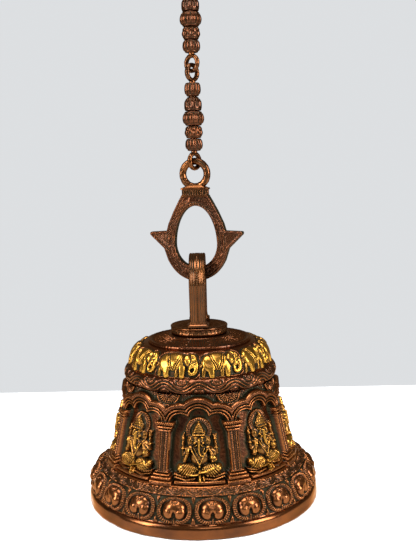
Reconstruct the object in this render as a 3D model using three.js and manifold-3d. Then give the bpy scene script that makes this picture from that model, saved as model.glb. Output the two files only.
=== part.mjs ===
// A temple bell that hangs plumb on a chain of two beaded links, in millimetres, with +Z up.
// The origin is the point inside the hanging ring where a ceiling hook carries it.
// Heights named below are measured up from the plane of the bell's rim.
import * as THREE from "three";
import { mergeVertices } from "three/addons/utils/BufferGeometryUtils.js";
import Module from "manifold-3d";

const wasm = await Module();
wasm.setup();

// ---- Driving dimensions ----
const GAP = 0.3; // left between pieces that touch
const RIM_RADIUS = 115;
const ROUND_STEPS = 40; // facets round the bell
const NICHES = 8;
const ELEPHANTS = 10;

const CROWN_TOP = 156.8; // flat top of the cast shell
const CROWN_UNDERSIDE = 148;
const PLATE_TOP = 165.6;
const COLLAR_TOP = 174.2;
const STUD_RADIUS = 5;
const STUD_BORE = STUD_RADIUS + GAP;

const NICHE_FLOOR = 43;
const NICHE_DEPTH = 9;
const NICHE_HALF_WIDTH = 28;
const WALL_BITE = 1.5; // how far the relief is sunk into the wall behind it
const ELEPHANT_FEET = 137.5;
const ELEPHANT_RELIEF = 2.6;
const FACE_LEAN = Math.atan(0.215); // the arcade wall leans in towards the crown
const FACE_RADIUS_LOW = 95; // arcade wall at the niche floor

const LOOP_WIDTH = 16;
const LOOP_OUTER_RADIUS = 29;
const LOOP_INNER_RADIUS = 19.5;
const LOOP_ARCH_HEIGHT = 216; // centre of the loop's round top

const HANGER_THICKNESS = 9;
const HANGER_YAW = THREE.MathUtils.degToRad(-15);
const HANGER_NECK = 9;
const BOW_HALF = 7; // half the height of the hanger's bottom bar
const BOW_SLACK = 4.2; // the straight loop sits this much above the middle of the curved bow
const BOW_HEIGHT = LOOP_ARCH_HEIGHT + LOOP_INNER_RADIUS - BOW_SLACK - BOW_HALF;
const HANGER_RING_RISE = 98.1; // centre of the hanger's own ring above the bow
const HANGER_RING_RADIUS = 11.9; // to the middle of its round bar
const HANGER_RING_BAR = 3.1;

const EYE_RADIUS = 7; // to the middle of the eye's bar
const EYE_BAR = 2.25;
const LINK_LENGTH = 98; // between the middles of the bars at its two ends
const LINK_YAW = THREE.MathUtils.degToRad(50);
const LINK_ROD = 3;
const EYE_SEAT = 1.0; // slack between an eye and the hanger's ring
const LINK_SEAT = 0.8; // slack between two round eyes

const HANG_RING_RADIUS = 19;
const HANG_RING_BAR = 3;

const STAPLE_BAR_HEIGHT = 111; // the clapper turns on this bar
const CLAPPER_BALL_RADIUS = 24;
const CLAPPER_BALL_HEIGHT = 34;
const BALL_STEPS = 10;

// Heights that follow from those above
const HANGER_RING_TOP = BOW_HEIGHT + HANGER_RING_RISE + HANGER_RING_RADIUS - HANGER_RING_BAR;
const LOWER_LINK_HEIGHT = HANGER_RING_TOP - EYE_SEAT - EYE_BAR;
const UPPER_LINK_HEIGHT = LOWER_LINK_HEIGHT + LINK_LENGTH - 2 * EYE_BAR - LINK_SEAT;
const HANG_RING_LOW_BAR = UPPER_LINK_HEIGHT + LINK_LENGTH - EYE_BAR - HANG_RING_BAR - LINK_SEAT;
const HANG_HEIGHT = HANG_RING_LOW_BAR + 2 * HANG_RING_RADIUS - HANG_RING_BAR;

// ---- Materials ----
const metal = (color, roughness) => new THREE.MeshStandardMaterial({ color, roughness, metalness: 1 });
const agedBronze = metal(0x6b3a22, 0.38);
const wornBronze = metal(0x8a4a24, 0.35);
const darkIron = metal(0x3a332e, 0.6);

// ---- Solids ----
function solid(geometry) {
  const bare = new THREE.BufferGeometry();
  const source = geometry.index ? geometry.toNonIndexed() : geometry;
  bare.setAttribute("position", source.getAttribute("position"));
  const merged = mergeVertices(bare, 1e-4);
  const mesh = new wasm.Mesh({
    numProp: 3,
    vertProperties: merged.getAttribute("position").array,
    triVerts: new Uint32Array(merged.index.array),
  });
  return new wasm.Manifold(mesh);
}

function geometryOf(manifold) {
  const mesh = manifold.getMesh();
  const geometry = new THREE.BufferGeometry();
  geometry.setAttribute("position", new THREE.BufferAttribute(mesh.vertProperties, 3));
  geometry.setIndex(new THREE.BufferAttribute(mesh.triVerts, 1));
  return geometry;
}

const joined = (...geometries) => geometries.map(solid).reduce((all, one) => all.add(one));

// A solid of revolution about Z from [radius, height] pairs that close on themselves.
function turned(points, steps = ROUND_STEPS) {
  const outline = points.map(([radius, height]) => new THREE.Vector2(radius, height));
  outline.push(outline[0].clone());
  return new THREE.LatheGeometry(outline, steps).rotateX(Math.PI / 2);
}

// A cylinder along Z between two heights.
function rod(radius, low, high, steps = 16) {
  const geometry = new THREE.CylinderGeometry(radius, radius, high - low, steps);
  return geometry.rotateX(Math.PI / 2).translate(0, 0, (low + high) / 2);
}

// A ball or ellipsoid.
function blob([x, y, z], [rx, ry, rz]) {
  return new THREE.SphereGeometry(1, 7, 5).scale(rx, ry, rz).translate(x, y, z);
}

// A ring that stands in the XZ plane.
function standingRing(radius, bar, height, around = 16) {
  return new THREE.TorusGeometry(radius, bar, 8, around).rotateX(Math.PI / 2).translate(0, 0, height);
}

// A flat outline drawn in XZ and given a thickness along Y, with its edges chamfered.
function plate(shape, thickness, chamfer, curveSegments = 8) {
  const options = {
    depth: thickness - 2 * chamfer,
    bevelEnabled: chamfer > 0,
    bevelThickness: chamfer,
    bevelSize: chamfer,
    bevelOffset: -chamfer,
    bevelSegments: 1,
    curveSegments,
  };
  const geometry = new THREE.ExtrudeGeometry(shape, options);
  return geometry.rotateX(Math.PI / 2).translate(0, thickness / 2 - chamfer, 0);
}

function piece(name, geometry, material) {
  const mesh = new THREE.Mesh(geometry.isBufferGeometry ? geometry : geometryOf(geometry), material);
  mesh.name = name;
  return mesh;
}

// ---- The cast shell ----
const TORUS = { radius: 68.3, tube: 8.3, height: 128.5 };

function torusProfile() {
  return [-65, -25, 25, 65].map((degrees) => {
    const angle = THREE.MathUtils.degToRad(degrees);
    return [TORUS.radius + TORUS.tube * Math.cos(angle), TORUS.height + TORUS.tube * Math.sin(angle)];
  });
}

const SHELL_OUTSIDE = [
  [RIM_RADIUS - 1, 0],
  [RIM_RADIUS + 0.6, 3],
  [RIM_RADIUS + 0.6, 8],
  [111.8, 13],
  [113.4, 16],
  [113, 21],
  [110.8, 27],
  [106.8, 32.5],
  [100.5, 37.5],
  [96, 41],
  [93.2, 50],
  [92.2, 62],
  [88.2, 80],
  [78.2, 118],
];
const DOME_OUTSIDE = [
  [70.3, 138],
  [69.9, 143],
  [68, 148.5],
  [64.5, 153],
  [59, 156],
  [52, CROWN_TOP],
];
const SHELL_INSIDE = [
  [STUD_BORE, CROWN_UNDERSIDE],
  [50, CROWN_UNDERSIDE],
  [60, 143],
  [63.5, 136],
  [67, 122],
  [72.5, 86],
  [79.5, 54],
  [82, 46],
  [88, 39],
  [97, 31],
  [103, 21],
  [105.5, 10],
  [106, 0],
];

// The inside of one niche: a cusped arch of one middle lobe and two side lobes.
function nicheShape(halfWidth, height) {
  const spring = height - 24;
  const shape = new THREE.Shape();
  shape.moveTo(-halfWidth, 0);
  shape.lineTo(halfWidth, 0);
  shape.lineTo(halfWidth, spring);
  shape.absarc(halfWidth - 8.5, spring + 4, 9.4, -0.44, 2.1, false);
  shape.absarc(0, spring + 13, 11, -0.1, Math.PI + 0.1, false);
  shape.absarc(8.5 - halfWidth, spring + 4, 9.4, Math.PI - 2.1, Math.PI + 0.44, false);
  shape.lineTo(-halfWidth, spring);
  return shape;
}

// The frame of the niche wall at the front of the bell: it stands on the niche floor and leans with the wall.
function nicheFrame(depth) {
  const frame = new THREE.Object3D();
  frame.position.set(0, -(FACE_RADIUS_LOW - depth), NICHE_FLOOR);
  frame.rotation.x = -FACE_LEAN;
  frame.updateMatrix();
  return frame.matrix;
}

// A seated four-armed figure with an elephant's head, in relief: it grows out of the niche wall.
function seatedFigure() {
  const parts = [
    blob([0, 0, 8], [19.5, 7, 7.5]), // crossed legs
    blob([0, 0, 22], [10, 8.5, 9.5]), // belly
    blob([-13, 0, 30], [4, 5, 12]), // arms
    blob([13, 0, 30], [4, 5, 12]),
    blob([0, 0, 38], [7, 8, 8]), // head
    blob([0, 0, 48], [5, 6, 8]), // crown
  ];
  const halo = new THREE.CylinderGeometry(12.4, 12.4, 3, 10).translate(0, 0, 44);
  const reach = solid(new THREE.BoxGeometry(80, 22, 120).translate(0, WALL_BITE - 11, 40));
  return joined(halo, ...parts).intersect(reach);
}

// A walking elephant, drawn from the side with its head to the right.
function elephantShape() {
  const shape = new THREE.Shape();
  shape.moveTo(-16, 0.5);
  shape.lineTo(-17.5, 12);
  shape.lineTo(-12, 19);
  shape.lineTo(10, 19);
  shape.lineTo(18, 14);
  shape.lineTo(18, 2);
  shape.lineTo(12, 1);
  shape.lineTo(10, 7);
  shape.lineTo(-3, 7);
  shape.lineTo(-6, 0.5);
  return shape;
}

// The elephant as relief on the dome: its outline, kept within a skin that follows the dome.
function elephant() {
  const skin = (offset) => {
    const raise = (height) => Math.min(height + offset / 2, CROWN_TOP);
    const over = DOME_OUTSIDE.map(([radius, height]) => [radius + offset, raise(height)]);
    const foot = [over[0][0], ELEPHANT_FEET];
    return solid(turned([[0, ELEPHANT_FEET], foot, ...over.slice(1), [0, over.at(-1)[1]]]));
  };
  const outline = plate(elephantShape(), 26, 0, 3).translate(0, -62, ELEPHANT_FEET);
  return solid(outline).intersect(skin(ELEPHANT_RELIEF)).subtract(skin(-WALL_BITE));
}

// The shell is one casting: a turned bell, its niches cut in, its figures and elephants standing proud.
function shell() {
  const outside = [...SHELL_OUTSIDE, ...torusProfile(), ...DOME_OUTSIDE, [STUD_BORE, CROWN_TOP]];
  const around = (geometry, step, count) => solid(geometry.clone().rotateZ((step * 2 * Math.PI) / count));
  const niche = plate(nicheShape(NICHE_HALF_WIDTH, 67), 30, 0, 3).translate(0, -15, 0);
  const figure = geometryOf(seatedFigure());
  niche.applyMatrix4(nicheFrame(NICHE_DEPTH));
  figure.applyMatrix4(nicheFrame(NICHE_DEPTH));
  let body = solid(turned([...outside, ...SHELL_INSIDE]));
  for (let i = 0; i < NICHES; i++) {
    body = body.subtract(around(niche, i, NICHES)).add(around(figure, i, NICHES));
  }
  const walker = geometryOf(elephant());
  for (let i = 0; i < ELEPHANTS; i++) {
    body = body.add(around(walker, i + 0.5, ELEPHANTS));
  }
  return body;
}

// ---- The crown ----
function crownPlate() {
  const low = CROWN_TOP + GAP;
  return turned([
    [STUD_BORE, low],
    [50.6, low],
    [51.6, low + 1.6],
    [50.8, low + 3.3],
    [47.5, low + 3.6],
    [29.5, PLATE_TOP],
    [STUD_BORE, PLATE_TOP],
  ]);
}

function crownCollar() {
  const low = PLATE_TOP + GAP;
  return turned(
    [
      [STUD_BORE, low],
      [28.8, low],
      [28.9, low + 1.6],
      [27.7, low + 2.6],
      [28, COLLAR_TOP - 1.2],
      [27.4, COLLAR_TOP],
      [STUD_BORE, COLLAR_TOP],
    ],
    32,
  );
}

const LOOP_FOOT = COLLAR_TOP + GAP;
const LOOP_FOOT_TOP = 181.5;

function crownLoop() {
  const legOut = 26;
  const legIn = 17.5;
  const outline = new THREE.Shape();
  outline.moveTo(-legOut, LOOP_FOOT);
  outline.lineTo(legOut, LOOP_FOOT);
  outline.lineTo(LOOP_OUTER_RADIUS, LOOP_ARCH_HEIGHT);
  outline.absarc(0, LOOP_ARCH_HEIGHT, LOOP_OUTER_RADIUS, 0, Math.PI, false);
  const hole = new THREE.Path();
  hole.moveTo(-legIn, LOOP_FOOT_TOP);
  hole.lineTo(legIn, LOOP_FOOT_TOP);
  hole.lineTo(LOOP_INNER_RADIUS, LOOP_ARCH_HEIGHT);
  hole.absarc(0, LOOP_ARCH_HEIGHT, LOOP_INNER_RADIUS, 0, Math.PI, false);
  outline.holes.push(hole);
  const strap = plate(outline, LOOP_WIDTH, 0.8, 12).rotateZ(Math.PI / 2);
  const foot = new THREE.BoxGeometry(21, 50, 3.2).translate(0, 0, LOOP_FOOT + 1.6);
  const studHole = rod(STUD_BORE, LOOP_FOOT - 1, LOOP_FOOT_TOP - 1.8);
  return joined(strap, foot).subtract(solid(studHole));
}

const STUD_TOP = LOOP_FOOT_TOP - 1.8 - GAP;
const WASHER_TOP = CROWN_UNDERSIDE - GAP;
const NUT_TOP = WASHER_TOP - 2 - GAP;
const STAPLE_TOP = NUT_TOP - 8 - GAP;
const STAPLE_RADIUS = 7;
const STAPLE_BAR = 2.5;
const STUD_LOW = STAPLE_TOP - 9;

const washer = () =>
  turned(
    [
      [STUD_BORE, WASHER_TOP - 2],
      [14, WASHER_TOP - 2],
      [14, WASHER_TOP],
      [STUD_BORE, WASHER_TOP],
    ],
    24,
  );

function nut() {
  return solid(rod(9.8, NUT_TOP - 8, NUT_TOP, 6)).subtract(solid(rod(STUD_BORE, NUT_TOP - 9, NUT_TOP + 1)));
}

// An eye nut on the end of the stud: its bar carries the clapper.
function clapperStaple() {
  const low = STAPLE_BAR_HEIGHT + 2 * STAPLE_RADIUS - 1;
  const ring = standingRing(STAPLE_RADIUS, STAPLE_BAR, STAPLE_BAR_HEIGHT + STAPLE_RADIUS);
  const body = joined(rod(8.4, low, STAPLE_TOP, 8), ring);
  return body.subtract(solid(rod(STUD_BORE, STUD_LOW - GAP, STAPLE_TOP + 1)));
}

// ---- The clapper ----
const CLAPPER_EYE = 6.4;
const CLAPPER_EYE_BAR = 2.3;
const CLAPPER_ROD = 4;
const CLAPPER_ROD_LOW = 7;

function clapperRod() {
  const top = STAPLE_BAR_HEIGHT + STAPLE_BAR + CLAPPER_EYE_BAR + LINK_SEAT;
  const ring = standingRing(CLAPPER_EYE, CLAPPER_EYE_BAR, top - CLAPPER_EYE).rotateZ(Math.PI / 2);
  return joined(ring, rod(CLAPPER_ROD, CLAPPER_ROD_LOW, top - 2 * CLAPPER_EYE + 1));
}

function clapperBall() {
  const points = [];
  for (let step = 1; step < BALL_STEPS; step++) {
    const angle = -Math.PI / 2 + (step * Math.PI) / BALL_STEPS;
    const height = CLAPPER_BALL_HEIGHT + CLAPPER_BALL_RADIUS * Math.sin(angle);
    points.push([CLAPPER_BALL_RADIUS * Math.cos(angle), height]);
  }
  const bore = CLAPPER_ROD + GAP;
  return turned([[bore, points[0][1]], ...points, [bore, points.at(-1)[1]]], 20);
}

// The nut under the ball, which is also the clapper's tip.
function clapperTip() {
  const top = CLAPPER_BALL_HEIGHT - CLAPPER_BALL_RADIUS * Math.cos(Math.PI / BALL_STEPS) - GAP;
  return solid(rod(7, 4.6, top, 8)).subtract(solid(rod(CLAPPER_ROD + GAP, CLAPPER_ROD_LOW - GAP, top + 1)));
}

// ---- The hanger: a flat pear-shaped stirrup with a wing on each side and a ring on top ----
function hangerOutline() {
  const half = [
    [29.4, 14],
    [33.2, 25.5],
    [48, 39.6],
    [47.6, 42.2],
    [30, 42.8],
    [27.9, 50],
    [22.3, 62],
    [16, 73.5],
  ];
  const shape = new THREE.Shape();
  shape.moveTo(0, -BOW_HALF);
  shape.quadraticCurveTo(19.5, -6, 29.4, 14);
  half.slice(1).forEach(([x, z]) => shape.lineTo(x, z));
  shape.lineTo(HANGER_NECK, 85);
  shape.lineTo(-HANGER_NECK, 85);
  half.slice().reverse().forEach(([x, z]) => shape.lineTo(-x, z));
  shape.quadraticCurveTo(-19.5, -6, 0, -BOW_HALF);
  return shape;
}

function hangerOpening() {
  const path = new THREE.Path();
  path.moveTo(0, BOW_HALF);
  path.bezierCurveTo(13, BOW_HALF, 21.5, 18, 21.5, 30);
  path.bezierCurveTo(21.5, 46, 14, 67.3, 0, 67.3);
  path.bezierCurveTo(-14, 67.3, -21.5, 46, -21.5, 30);
  path.bezierCurveTo(-21.5, 18, -13, BOW_HALF, 0, BOW_HALF);
  return path;
}

function hanger() {
  const outline = hangerOutline();
  outline.holes.push(hangerOpening());
  const body = plate(outline, HANGER_THICKNESS, 0.8);
  const collar = new THREE.BoxGeometry(28, HANGER_THICKNESS + 3, 7.4).translate(0, 0, 80.8);
  const neck = new THREE.BoxGeometry(2 * HANGER_NECK, 2 * HANGER_RING_BAR, 7).translate(0, 0, 86);
  const ring = standingRing(HANGER_RING_RADIUS, HANGER_RING_BAR, HANGER_RING_RISE);
  return joined(body, collar, neck, ring);
}

// ---- The chain ----
// Beads of one link, from the bottom: radius at the foot, at the middle and at the top, then low and high edge.
const BEADS = [
  { foot: 6.6, middle: 8.9, top: 7.6, low: 16.6, high: 28.4 },
  { foot: 7.4, middle: 9.2, top: 7.8, low: 28.7, high: 40.4 },
  { foot: 8.0, middle: 11.1, top: 8.6, low: 40.7, high: 54.4 },
  { foot: 8.2, middle: 8.9, top: 5.8, low: 54.7, high: 68.2 },
  { foot: 6.2, middle: 8.2, top: 7.2, low: 68.5, high: 81.4 },
];

function bead({ foot, middle, top, low, high }) {
  const bore = LINK_ROD + GAP;
  const tall = high - low;
  return turned(
    [
      [bore, low],
      [foot - 1.2, low],
      [foot, low + 1],
      [middle, low + tall * 0.35],
      [middle * 0.985, low + tall * 0.62],
      [top, high - 1.2],
      [top - 1.4, high],
      [bore, high],
    ],
    12,
  );
}

// The core of a link: a rod with an eye at each end, in the link's own frame with the low bar at zero.
function linkCore() {
  const low = standingRing(EYE_RADIUS, EYE_BAR, EYE_RADIUS);
  const high = standingRing(EYE_RADIUS, EYE_BAR, LINK_LENGTH - EYE_RADIUS);
  return joined(low, high, rod(LINK_ROD, 2 * EYE_RADIUS - 1.5, LINK_LENGTH - 2 * EYE_RADIUS + 1.5, 12));
}

function link(name, height, yaw) {
  const group = new THREE.Group();
  group.position.z = height;
  group.rotation.z = yaw;
  group.add(piece(name + "_core", linkCore(), wornBronze));
  BEADS.forEach((shape, i) => group.add(piece(name + "_bead_" + (i + 1), bead(shape), agedBronze)));
  return group;
}

// ---- The assembly ----
function bellGroup() {
  const group = new THREE.Group();
  group.add(
    piece("bell_shell", shell(), agedBronze),
    piece("crown_plate", crownPlate(), agedBronze),
    piece("crown_collar", crownCollar(), agedBronze),
    piece("crown_loop", crownLoop(), wornBronze),
    piece("crown_stud", rod(STUD_RADIUS, STUD_LOW, STUD_TOP), darkIron),
    piece("crown_washer", washer(), darkIron),
    piece("crown_nut", nut(), darkIron),
    piece("clapper_staple", clapperStaple(), darkIron),
  );
  return group;
}

function clapperGroup() {
  const group = new THREE.Group();
  group.add(
    piece("clapper_rod", clapperRod(), darkIron),
    piece("clapper_ball", clapperBall(), wornBronze),
    piece("clapper_tip", clapperTip(), wornBronze),
  );
  return group;
}

const hangerMesh = piece("hanger", hanger(), wornBronze);
hangerMesh.position.z = BOW_HEIGHT;
hangerMesh.rotation.z = HANGER_YAW;

const ringMesh = piece(
  "hanging_ring",
  standingRing(HANG_RING_RADIUS, HANG_RING_BAR, HANG_RING_LOW_BAR + HANG_RING_RADIUS, 24),
  wornBronze,
);
ringMesh.rotation.z = LINK_YAW;

const assembly = new THREE.Group();
assembly.add(
  bellGroup(),
  clapperGroup(),
  hangerMesh,
  link("lower_link", LOWER_LINK_HEIGHT, LINK_YAW),
  link("upper_link", UPPER_LINK_HEIGHT, LINK_YAW - Math.PI / 2),
  ringMesh,
);
assembly.position.z = -HANG_HEIGHT;

export default new THREE.Group().add(assembly);
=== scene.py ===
import math

import bpy
import numpy as np
from mathutils import Matrix, Vector


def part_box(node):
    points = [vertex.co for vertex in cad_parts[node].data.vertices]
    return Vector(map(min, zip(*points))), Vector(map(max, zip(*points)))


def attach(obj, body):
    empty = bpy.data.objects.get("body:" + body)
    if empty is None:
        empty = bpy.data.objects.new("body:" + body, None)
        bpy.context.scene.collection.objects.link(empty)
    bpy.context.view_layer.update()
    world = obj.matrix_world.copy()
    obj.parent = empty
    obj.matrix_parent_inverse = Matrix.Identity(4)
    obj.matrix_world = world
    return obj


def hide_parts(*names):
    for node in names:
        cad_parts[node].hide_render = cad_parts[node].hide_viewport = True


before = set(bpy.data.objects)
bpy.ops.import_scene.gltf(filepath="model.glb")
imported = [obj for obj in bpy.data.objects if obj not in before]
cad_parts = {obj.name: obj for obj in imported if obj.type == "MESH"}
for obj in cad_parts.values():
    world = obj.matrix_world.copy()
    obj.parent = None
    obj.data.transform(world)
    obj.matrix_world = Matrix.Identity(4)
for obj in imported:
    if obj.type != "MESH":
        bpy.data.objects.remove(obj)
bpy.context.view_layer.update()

# Lengths in this script are millimetres, and heights are measured up from the plane of the bell's rim.
MM = 0.001
RIM_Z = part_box("bell_shell")[0].z
TAU = 2 * math.pi
NICHES = 8
PETALS = 20
ELEPHANTS = 10
WAVES = 14
PETAL_PHASE = math.radians(6)
ELEPHANT_PHASE = math.radians(1.5)
WAVE_PHASE = math.radians(1)
ALL_ROUND = np.arange(1000) * TAU / 1000


# ---------------------------------------------------------------- shapes in the plane
# A signed distance is in mm, and negative inside the shape.

def ramp(low, high, x):
    t = np.clip((x - low) / (high - low), 0, 1)
    return t * t * (3 - 2 * t)


def oval(x, y, cx, cy, rx, ry, turn=0.0):
    c, s = math.cos(turn), math.sin(turn)
    dx, dy = x - cx, y - cy
    return (np.hypot((c * dx + s * dy) / rx, (c * dy - s * dx) / ry) - 1) * min(rx, ry)


def slab(x, y, cx, cy, half_x, half_y):
    return np.maximum(abs(x - cx) - half_x, abs(y - cy) - half_y)


def stroke(x, y, points):
    """Along a polyline of (x, y, half-width) points."""
    best = np.full(np.broadcast(x, y).shape, 1e9)
    for (ax, ay, aw), (bx, by, bw) in zip(points[:-1], points[1:]):
        ux, uy = bx - ax, by - ay
        t = np.clip(((x - ax) * ux + (y - ay) * uy) / (ux * ux + uy * uy), 0, 1)
        best = np.minimum(best, np.hypot(x - ax - t * ux, y - ay - t * uy) - aw - t * (bw - aw))
    return best


def lump(distance, height, shoulder):
    """A rounded rise: nothing outside the shape, its full height from `shoulder` mm inside its edge."""
    t = np.clip(-distance / shoulder, 0, 1)
    return height * np.sqrt(1 - (1 - t) ** 2)


def line(distance, width):
    """1 on a line and 0 away from it."""
    return np.exp(-((distance / width) ** 2))


def ripple(turn):
    """A wave from 0 to 1."""
    return 0.5 + 0.5 * np.cos(turn)


def off_whole(value):
    """How far a value is past the nearest whole number."""
    return value - np.floor(value + 0.5)


def repeated(x, pitch):
    """How far x is past the nearest multiple of pitch."""
    return (x + pitch / 2) % pitch - pitch / 2


def grain(x, y, scale, seed):
    """Smooth noise from -1 to 1, made of a few turned waves of about `scale` mm."""
    random = np.random.default_rng(seed)
    total = 0
    for _ in range(9):
        turn, phase, size = random.uniform(0, TAU), random.uniform(0, TAU), random.uniform(0.7, 1.5)
        total = total + np.sin(TAU / (scale * size) * (x * math.cos(turn) + y * math.sin(turn)) + phase)
    return total / 3.5


class Relief:
    """A height map in mm over a grid of points (x, y), with how gilded each point is."""

    def __init__(self, x, y):
        self.x, self.y = x, y
        self.height = np.zeros(np.broadcast(x, y).shape)
        self.gilt = np.zeros_like(self.height)

    def add(self, distance, height, shoulder, gilt=None):
        part = lump(distance, height, shoulder)
        on_top = (distance < 0) & (part > self.height)
        self.height = np.maximum(self.height, part)
        if gilt is not None:
            self.gilt = np.where(on_top, gilt, self.gilt)

    def emboss(self, amount, where=1.0):
        self.height = self.height + amount * where

    def oval(self, cx, cy, rx, ry, height, gilt=None, turn=0.0):
        self.add(oval(self.x, self.y, cx, cy, rx, ry, turn), height, min(rx, ry), gilt)

    def stroke(self, points, height, gilt=None):
        shoulder = max(p[2] for p in points)
        self.add(stroke(self.x, self.y, points), height, shoulder, gilt)


# ---------------------------------------------------------------- meshes

def blur(values, cells, wrap):
    """Gaussian blur of a grid; the columns wrap round where wrap is true."""
    reach = max(1, int(2.5 * cells))
    weights = np.exp(-0.5 * (np.arange(-reach, reach + 1) / cells) ** 2)
    weights /= weights.sum()
    for axis, mode in ((0, "edge"), (1, "wrap" if wrap else "edge")):
        pad = [(0, 0), (0, 0)]
        pad[axis] = (reach, reach)
        wide = np.pad(values, pad, mode=mode)
        n = values.shape[axis]
        values = sum(w * wide.take(range(i, i + n), axis) for i, w in enumerate(weights))
    return values


def wear_of(height, cell, wrap=True):
    """How deep in a recess (-) or proud on an edge (+) each point of a height map is, about -1.5 to 1.5."""
    fine = height - blur(height, 0.6 / cell, wrap)
    wide = height - blur(height, 2.2 / cell, wrap)
    return np.clip(1.8 * fine, -1, 1) + 0.5 * np.clip(wide, -1.2, 0.3)


def mesh_object(name, points, faces, smooth, marks=None):
    """points (n, 3) in mm; faces a list of (k, m) index arrays; smooth one flag per list."""
    mesh = bpy.data.meshes.new(name)
    points = np.asarray(points, float) * MM
    counts = np.concatenate([np.full(len(f), f.shape[1]) for f in faces]).astype(np.int32)
    corners = np.concatenate([f.ravel() for f in faces]).astype(np.int32)
    starts = np.concatenate([[0], np.cumsum(counts)[:-1]]).astype(np.int32)
    mesh.vertices.add(len(points))
    mesh.vertices.foreach_set("co", points.ravel())
    mesh.loops.add(len(corners))
    mesh.loops.foreach_set("vertex_index", corners)
    mesh.polygons.add(len(counts))
    mesh.polygons.foreach_set("loop_start", starts)
    flags = np.concatenate([np.full(len(f), s) for f, s in zip(faces, smooth)])
    mesh.polygons.foreach_set("use_smooth", flags)
    mesh.update(calc_edges=True)
    for key in ("wear", "gilt"):
        values = np.zeros(len(points), np.float32)
        if marks and key in marks:
            values[: marks[key].size] = marks[key].ravel()
        mesh.attributes.new(key, "FLOAT", "POINT").data.foreach_set("value", values)
    mesh.validate()
    obj = bpy.data.objects.new(name, mesh)
    bpy.context.scene.collection.objects.link(obj)
    return obj


def quads(index, close_rows=False, close_columns=False):
    """Faces of a grid of vertex numbers."""
    if close_rows:
        index = np.vstack([index, index[:1]])
    if close_columns:
        index = np.hstack([index, index[:, :1]])
    return np.stack([index[:-1, :-1], index[:-1, 1:], index[1:, 1:], index[1:, :-1]], -1).reshape(-1, 4)


def spaced(points, step, closed=False):
    """Points every `step` mm along a polyline, and the outward normal at each (to the right of travel)."""
    points = np.asarray(points, float)
    if closed:
        points = np.vstack([points, points[:1]])
    lengths = np.concatenate([[0], np.cumsum(np.hypot(*np.diff(points, axis=0).T))])
    count = max(4, int(round(lengths[-1] / step)))
    at = np.linspace(0, lengths[-1], count, endpoint=not closed)
    even = np.stack([np.interp(at, lengths, points[:, k]) for k in (0, 1)], 1)
    if closed:
        along = np.roll(even, -1, 0) - np.roll(even, 1, 0)
    else:
        along = np.gradient(even, axis=0)
    along /= np.hypot(*along.T)[:, None]
    return even, np.stack([along[:, 1], -along[:, 0]], 1), at


def rounded(points, closed=False, rounds=2, cut=0.25):
    """Chaikin corner cutting."""
    points = np.asarray(points, float)
    for _ in range(rounds):
        after = np.roll(points, -1, 0) if closed else points[1:]
        before = points if closed else points[:-1]
        new = np.stack([before + (after - before) * cut, after + (before - after) * cut], 1).reshape(-1, 2)
        points = new if closed else np.vstack([points[:1], new[1:-1], points[-1:]])
    return points


def fillet(points, radius):
    """A closed outline with every corner rounded by a short two-step arc."""
    points = np.asarray(points, float)
    out = []
    for before, here, after in zip(np.roll(points, 1, 0), points, np.roll(points, -1, 0)):
        a, b = before - here, after - here
        la, lb = np.hypot(*a), np.hypot(*b)
        ra, rb = min(radius, la * 0.45), min(radius, lb * 0.45)
        start, end = here + a / la * ra, here + b / lb * rb
        out += [start, (start + end + 2 * here) / 4, end]
    return np.array(out)


def turned(name, outline, around, step, height=None):
    """A solid of revolution whose closed outline [(radius, height)] runs with its outside on the right.

    height(angle, along, radius, z) gives the relief on it in mm.
    """
    even, normal, at = spaced(outline, step, closed=True)
    angle = np.arange(around) * TAU / around
    angle, along = np.meshgrid(angle, at)
    radius, z = even[:, :1] + 0 * angle, even[:, 1:] + 0 * angle
    raised = height(angle, along, radius, z) if height else np.zeros_like(angle)
    out = radius + normal[:, :1] * raised
    z = z + normal[:, 1:] * raised
    points = np.stack([out * np.sin(angle), -out * np.cos(angle), z], -1).reshape(-1, 3)
    index = np.arange(angle.size).reshape(angle.shape)
    marks = {"wear": wear_of(raised, step)}
    return mesh_object(name, points, [quads(index, True, True)], [True], marks)


def panel(name, angles, outline, step, relief, backing, radial=False, belt=False):
    """A closed piece of the bell's outside: relief in front, plain behind, flat at its two sides.

    A belt goes all the way round instead, and has no sides.

    outline is the open (radius, height) line that the relief stands on, from the bottom up.
    relief(angle, along, radius, z) returns the height in mm and the gilding, and may add the extra rubbing.
    """
    even, normal, at = spaced(outline, step)
    if radial:
        normal = np.tile([1.0, 0.0], (len(even), 1))
    angle, along = np.meshgrid(angles, at)
    radius, z = even[:, :1] + 0 * angle, even[:, 1:] + 0 * angle
    raised, gilt, *rubbed = relief(angle, along, radius, z)
    out = radius + normal[:, :1] * raised
    up = z + normal[:, 1:] * raised
    ends = [0, -1]
    back_r = radius[ends] - backing
    back_z = z[ends] + np.array([[1.5], [-1.5]])
    out = np.vstack([out, back_r])
    up = np.vstack([up, back_z])
    angle_all = np.vstack([angle, angle[ends]])
    points = np.stack([out * np.sin(angle_all), -out * np.cos(angle_all), up], -1).reshape(-1, 3)
    rows, columns = angle.shape
    index = np.arange(angle.size).reshape(rows, columns)
    low, high = angle.size + np.arange(columns), angle.size + columns + np.arange(columns)
    walls = np.vstack([
        quads(np.vstack([low, index[0]]), False, belt),
        quads(np.vstack([index[-1], high]), False, belt),
        quads(np.vstack([high, low]), False, belt),
    ])
    left = np.concatenate([index[:, 0], [high[0], low[0]]])[None, :]
    right = np.concatenate([index[::-1, -1], [low[-1], high[-1]]])[None, :]
    marks = {"wear": wear_of(raised, step, belt) + sum(rubbed), "gilt": gilt}
    if belt:
        return mesh_object(name, points, [quads(index, False, True), walls], [True, False], marks)
    return mesh_object(name, points, [quads(index), walls, left, right], [True, False, False, False], marks)


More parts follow.
